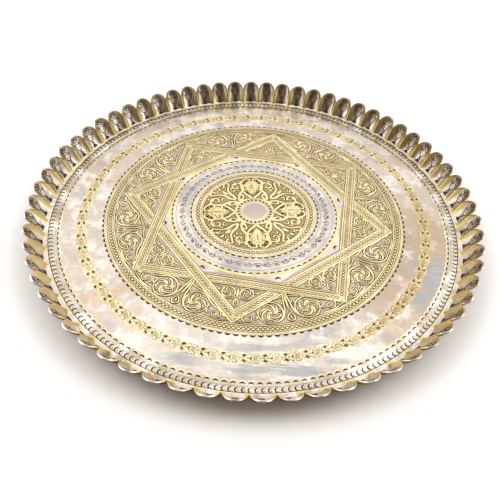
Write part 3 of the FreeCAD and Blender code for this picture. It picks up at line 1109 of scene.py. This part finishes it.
def make_petal_engraving():
    """A stemmed cup with a bud above it and a foot below, cut dark into every petal."""
    flat = Relief()
    lift = 0.16

    def cut(points, width):
        ribbon(flat, curve_through(points, 5), width, 0.0, lift)

    strokes = (
        (((0.2, 21.2), (3.0, 20.4), (4.9, 17.4), (3.8, 13.6), (0.5, 11.2)), 1.2),
        (((0.2, 27.2), (3.2, 26.0), (4.2, 23.6), (1.8, 21.8)), 1.55),
        (((0.2, 11.6), (1.7, 10.2), (0.4, 9.0), (1.9, 7.8), (0.4, 6.6)), 1.25),
        (((0.4, 6.8), (3.6, 4.2)), 1.5),
        (((0.9, 25.4), (2.4, 23.0)), 1.5),
        (((5.6, 22.6), (6.1, 19.6), (5.0, 16.0)), 0.8),
        (((1.4, 18.6), (2.8, 16.4), (1.2, 13.8)), 0.8),
    )
    for side in (-1, 1):
        for points, width in strokes:
            cut([(side * x, y) for x, y in points], width)
    slab(flat, [(-3.6, 3.9), (3.6, 3.9), (0.4, 7.4), (-0.4, 7.4)], 0.0, lift)
    cut([(0, 25.8), (0, 22.6)], 1.9)
    cut([(-4.2, 17.6), (0, 18.8), (4.2, 17.6)], 0.9)
    one = Relief()
    for verts, faces in flat.parts:
        one.add(on_petal(verts[:, 0], verts[:, 1], verts[:, 2]), faces)
    cuts = Relief()
    cuts.round_tray(one, PETALS)
    piece("petal_engraving", cuts, "dark")


# ---- studio


def make_camera():
    """Stands where a hand-held camera would, about 0.6 m away and looking 43 degrees down."""
    elevation, distance, turn, roll = math.radians(42.73), 0.6067, math.radians(-0.95), math.radians(2.997)
    target = Vector((-0.0026, -0.0634, FLOOR_TOP * MM))
    place = Vector((0, -distance * math.cos(elevation), distance * math.sin(elevation) + FLOOR_TOP * MM))
    ahead = (target - place).normalized()
    right = ahead.cross(Vector((0, 0, 1))).normalized()
    up = right.cross(ahead)
    x = right * math.cos(roll) + up * math.sin(roll)
    y = up * math.cos(roll) - right * math.sin(roll)
    axes = Matrix((x, y, -ahead)).transposed().to_4x4()
    data = bpy.data.cameras.new("camera")
    data.sensor_width, data.lens = 36.0, 36.7
    made = new_object("camera", data)
    made.matrix_world = Matrix.Rotation(turn, 4, "Z") @ Matrix.Translation(place) @ axes
    bpy.context.scene.camera = made


def soft_light(name, place, size, power):
    data = bpy.data.lights.new(name, "AREA")
    data.shape, data.size, data.energy = "DISK", size, power
    made = new_object(name, data)
    made.location = place
    made.rotation_mode = "QUATERNION"
    made.rotation_quaternion = Vector(place).to_track_quat("Z", "Y")


def make_studio():
    """A pale table under a soft sky, a little dimmer at the far side and dark on the camera's side."""
    mesh = bpy.data.meshes.new("table")
    reach = 6.0
    corners = [(-reach, -reach, 0), (reach, -reach, 0), (reach, reach, 0), (-reach, reach, 0)]
    mesh.from_pydata(corners, [], [(0, 1, 2, 3)])
    mesh.materials.append(studio_floor())
    table = new_object("table", mesh)

    world = bpy.data.worlds.new("studio")
    bpy.context.scene.world = world
    world.use_nodes = True
    tree = world.node_tree
    background = tree.nodes["Background"]
    place = tree.nodes.new("ShaderNodeTexCoord")
    toward = tree.nodes.new("ShaderNodeVectorMath")
    toward.operation = "DOT_PRODUCT"
    toward.inputs[1].default_value = (0.0, -0.79, 0.61)
    tree.links.new(place.outputs["Generated"], toward.inputs[0])
    # From -1, away from the camera, to 1, towards it, as the ramp's 0 to 1.
    share = tree.nodes.new("ShaderNodeMapRange")
    share.inputs["From Min"].default_value = -1.0
    tree.links.new(toward.outputs["Value"], share.inputs["Value"])
    ramp = tree.nodes.new("ShaderNodeValToRGB")
    far, bright, warm = (0.82, 0.81, 0.79), (1.0, 0.99, 0.965), (1.0, 0.985, 0.955)
    dusk, brown, dark = (0.57, 0.53, 0.48), (0.18, 0.135, 0.10), (0.09, 0.06, 0.04)
    stops = ((0.0, far), (0.35, far), (0.49, bright), (0.60, warm), (0.76, dusk), (0.875, brown), (1.0, dark))
    ramp.color_ramp.elements[0].position = stops[0][0]
    ramp.color_ramp.elements[1].position = stops[-1][0]
    for position, _ in stops[1:-1]:
        ramp.color_ramp.elements.new(position)
    for element, (_, colour) in zip(ramp.color_ramp.elements, stops):
        element.color = (*colour, 1.0)
    tree.links.new(share.outputs["Result"], ramp.inputs[0])
    tree.links.new(ramp.outputs[0], background.inputs["Color"])
    background.inputs["Strength"].default_value = 1.51

    # Two lights at the sides leave the ground under the near rim in shade.
    for name, side in (("left", -1), ("right", 1)):
        soft_light(name, (side * 1.3, 0.15, 1.5), 1.3, 12.0)
    bpy.context.scene.view_settings.view_transform = "Standard"


# ---- the tray

for node, finish in (("floor_plate", "floor"), ("border_ring", "border")):
    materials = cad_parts[node].data.materials
    materials.clear()
    materials.append(FINISHES[finish])

make_rosette()
make_band()
make_star()
make_medallion_border()
make_wreath()
make_lappets()
make_border_punches()
make_wall()
make_lips()
make_petal_engraving()
make_studio()
make_camera()
